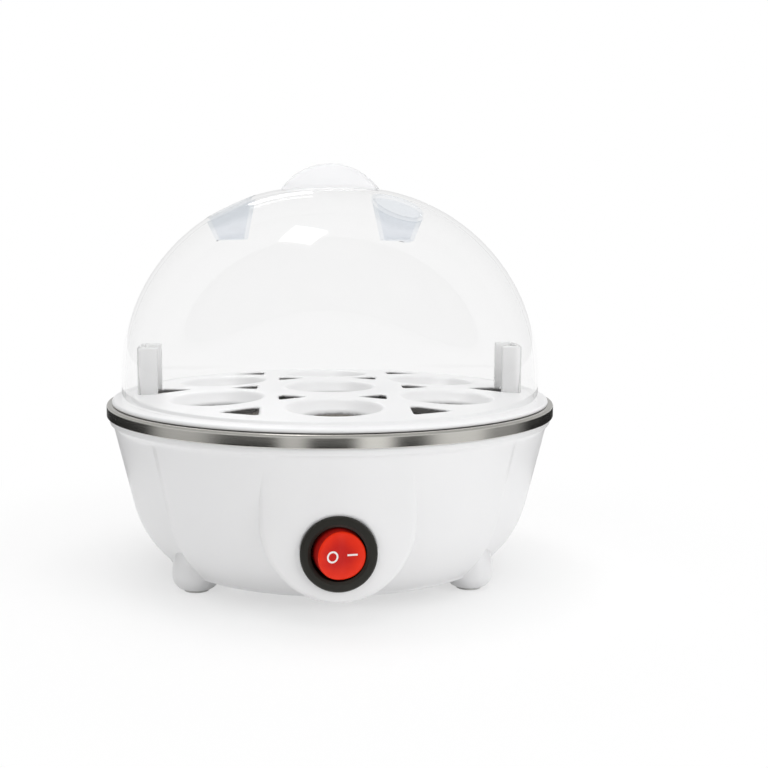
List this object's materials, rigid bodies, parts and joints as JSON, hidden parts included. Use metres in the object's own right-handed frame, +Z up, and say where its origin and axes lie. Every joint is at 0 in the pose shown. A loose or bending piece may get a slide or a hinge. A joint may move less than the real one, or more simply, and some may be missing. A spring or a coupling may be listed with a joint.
{
  "type": "egg cooker",
  "caption": "Round electric egg cooker: fluted white base with a rocker switch, steel boiling dish, lift-out egg tray with ring seats, and a clear dome lid with a half-disc knob.",
  "frame": {"origin": "middle of the footprint, on the surface that the foot pads stand on", "axes": "+Z up along the axis of the bowl and dome; the rocker switch faces -Y; the lifting tabs of the tray lie along X"},
  "size_m": [0.15, 0.15, 0.1366],
  "materials": {
    "white_plastic": "satin moulded plastic",
    "clear_plastic": "polished clear moulding",
    "steel": "brushed round the rim",
    "rubber": "plain",
    "aluminium": "plain sheet",
    "mica": "pressed mica sheet",
    "resistance_alloy": "rolled ribbon",
    "brass": "stamped",
    "black_plastic": "moulded",
    "red_plastic": "translucent moulding",
    "lamp_glass": "clear tube",
    "insulator": "moulded",
    "lead_sleeve": "braided heat-proof sleeve"
  },
  "bodies": {
    "base": {"base_housing": "white_plastic", "bottom_cover": "white_plastic", "heating_dish": "steel", "cover_screws": "steel", "dish_studs": "steel", "dish_washers": "steel", "dish_nuts": "steel", "press_plate": "steel", "heater_stud": "steel", "heater_washer": "steel", "heater_nut": "steel", "thermostat_screws": "steel", "fuse_clip": "steel", "fuse_clip_screw": "steel", "block_screws": "steel", "foot_pads": "rubber", "dish_gasket": "rubber", "cord_gland": "rubber", "heat_spreader": "aluminium", "mica_upper": "mica", "mica_lower": "mica", "heater_ribbon": "resistance_alloy", "switch_terminals": "brass", "switch_housing": "black_plastic", "thermostat": "black_plastic", "thermal_fuse": "insulator", "terminal_block": "insulator", "lead_live": "lead_sleeve", "lead_switched": "lead_sleeve", "lead_element": "lead_sleeve", "lead_fuse": "lead_sleeve", "lead_neutral": "lead_sleeve", "lead_lamp": "lead_sleeve"},
    "rocker": {"rocker": "red_plastic", "rocker_plunger": "insulator", "rocker_spring": "steel", "neon_lamp": "lamp_glass"},
    "contact_arm": {"contact_arm": "brass"},
    "tray": {"egg_tray": "white_plastic"},
    "lid": {"lid_dome": "clear_plastic", "lid_knob": "white_plastic"}
  },
  "joints": [
    {"name": "rocker_tip", "type": "hinge", "parent": "base", "child": "rocker", "pos_m": [0, -0.0675, 0.0222], "axis": [0, 0, -1], "range_deg": [0, 24]},
    {"name": "contact_tip", "type": "hinge", "parent": "base", "child": "contact_arm", "pos_m": [0, -0.056, 0.0222], "axis": [0, 0, -1], "range_deg": [-12, 0]},
    {"name": "tray_lift", "type": "slide", "parent": "base", "child": "tray", "axis": [0, 0, 1], "range_m": [0, 0.08]},
    {"name": "lid_lift", "type": "slide", "parent": "tray", "child": "lid", "axis": [0, 0, 1], "range_m": [0, 0.12]}
  ],
  "couplings": [
    {"joint": "contact_tip", "follows": "rocker_tip", "ratio": -0.5}
  ]
}
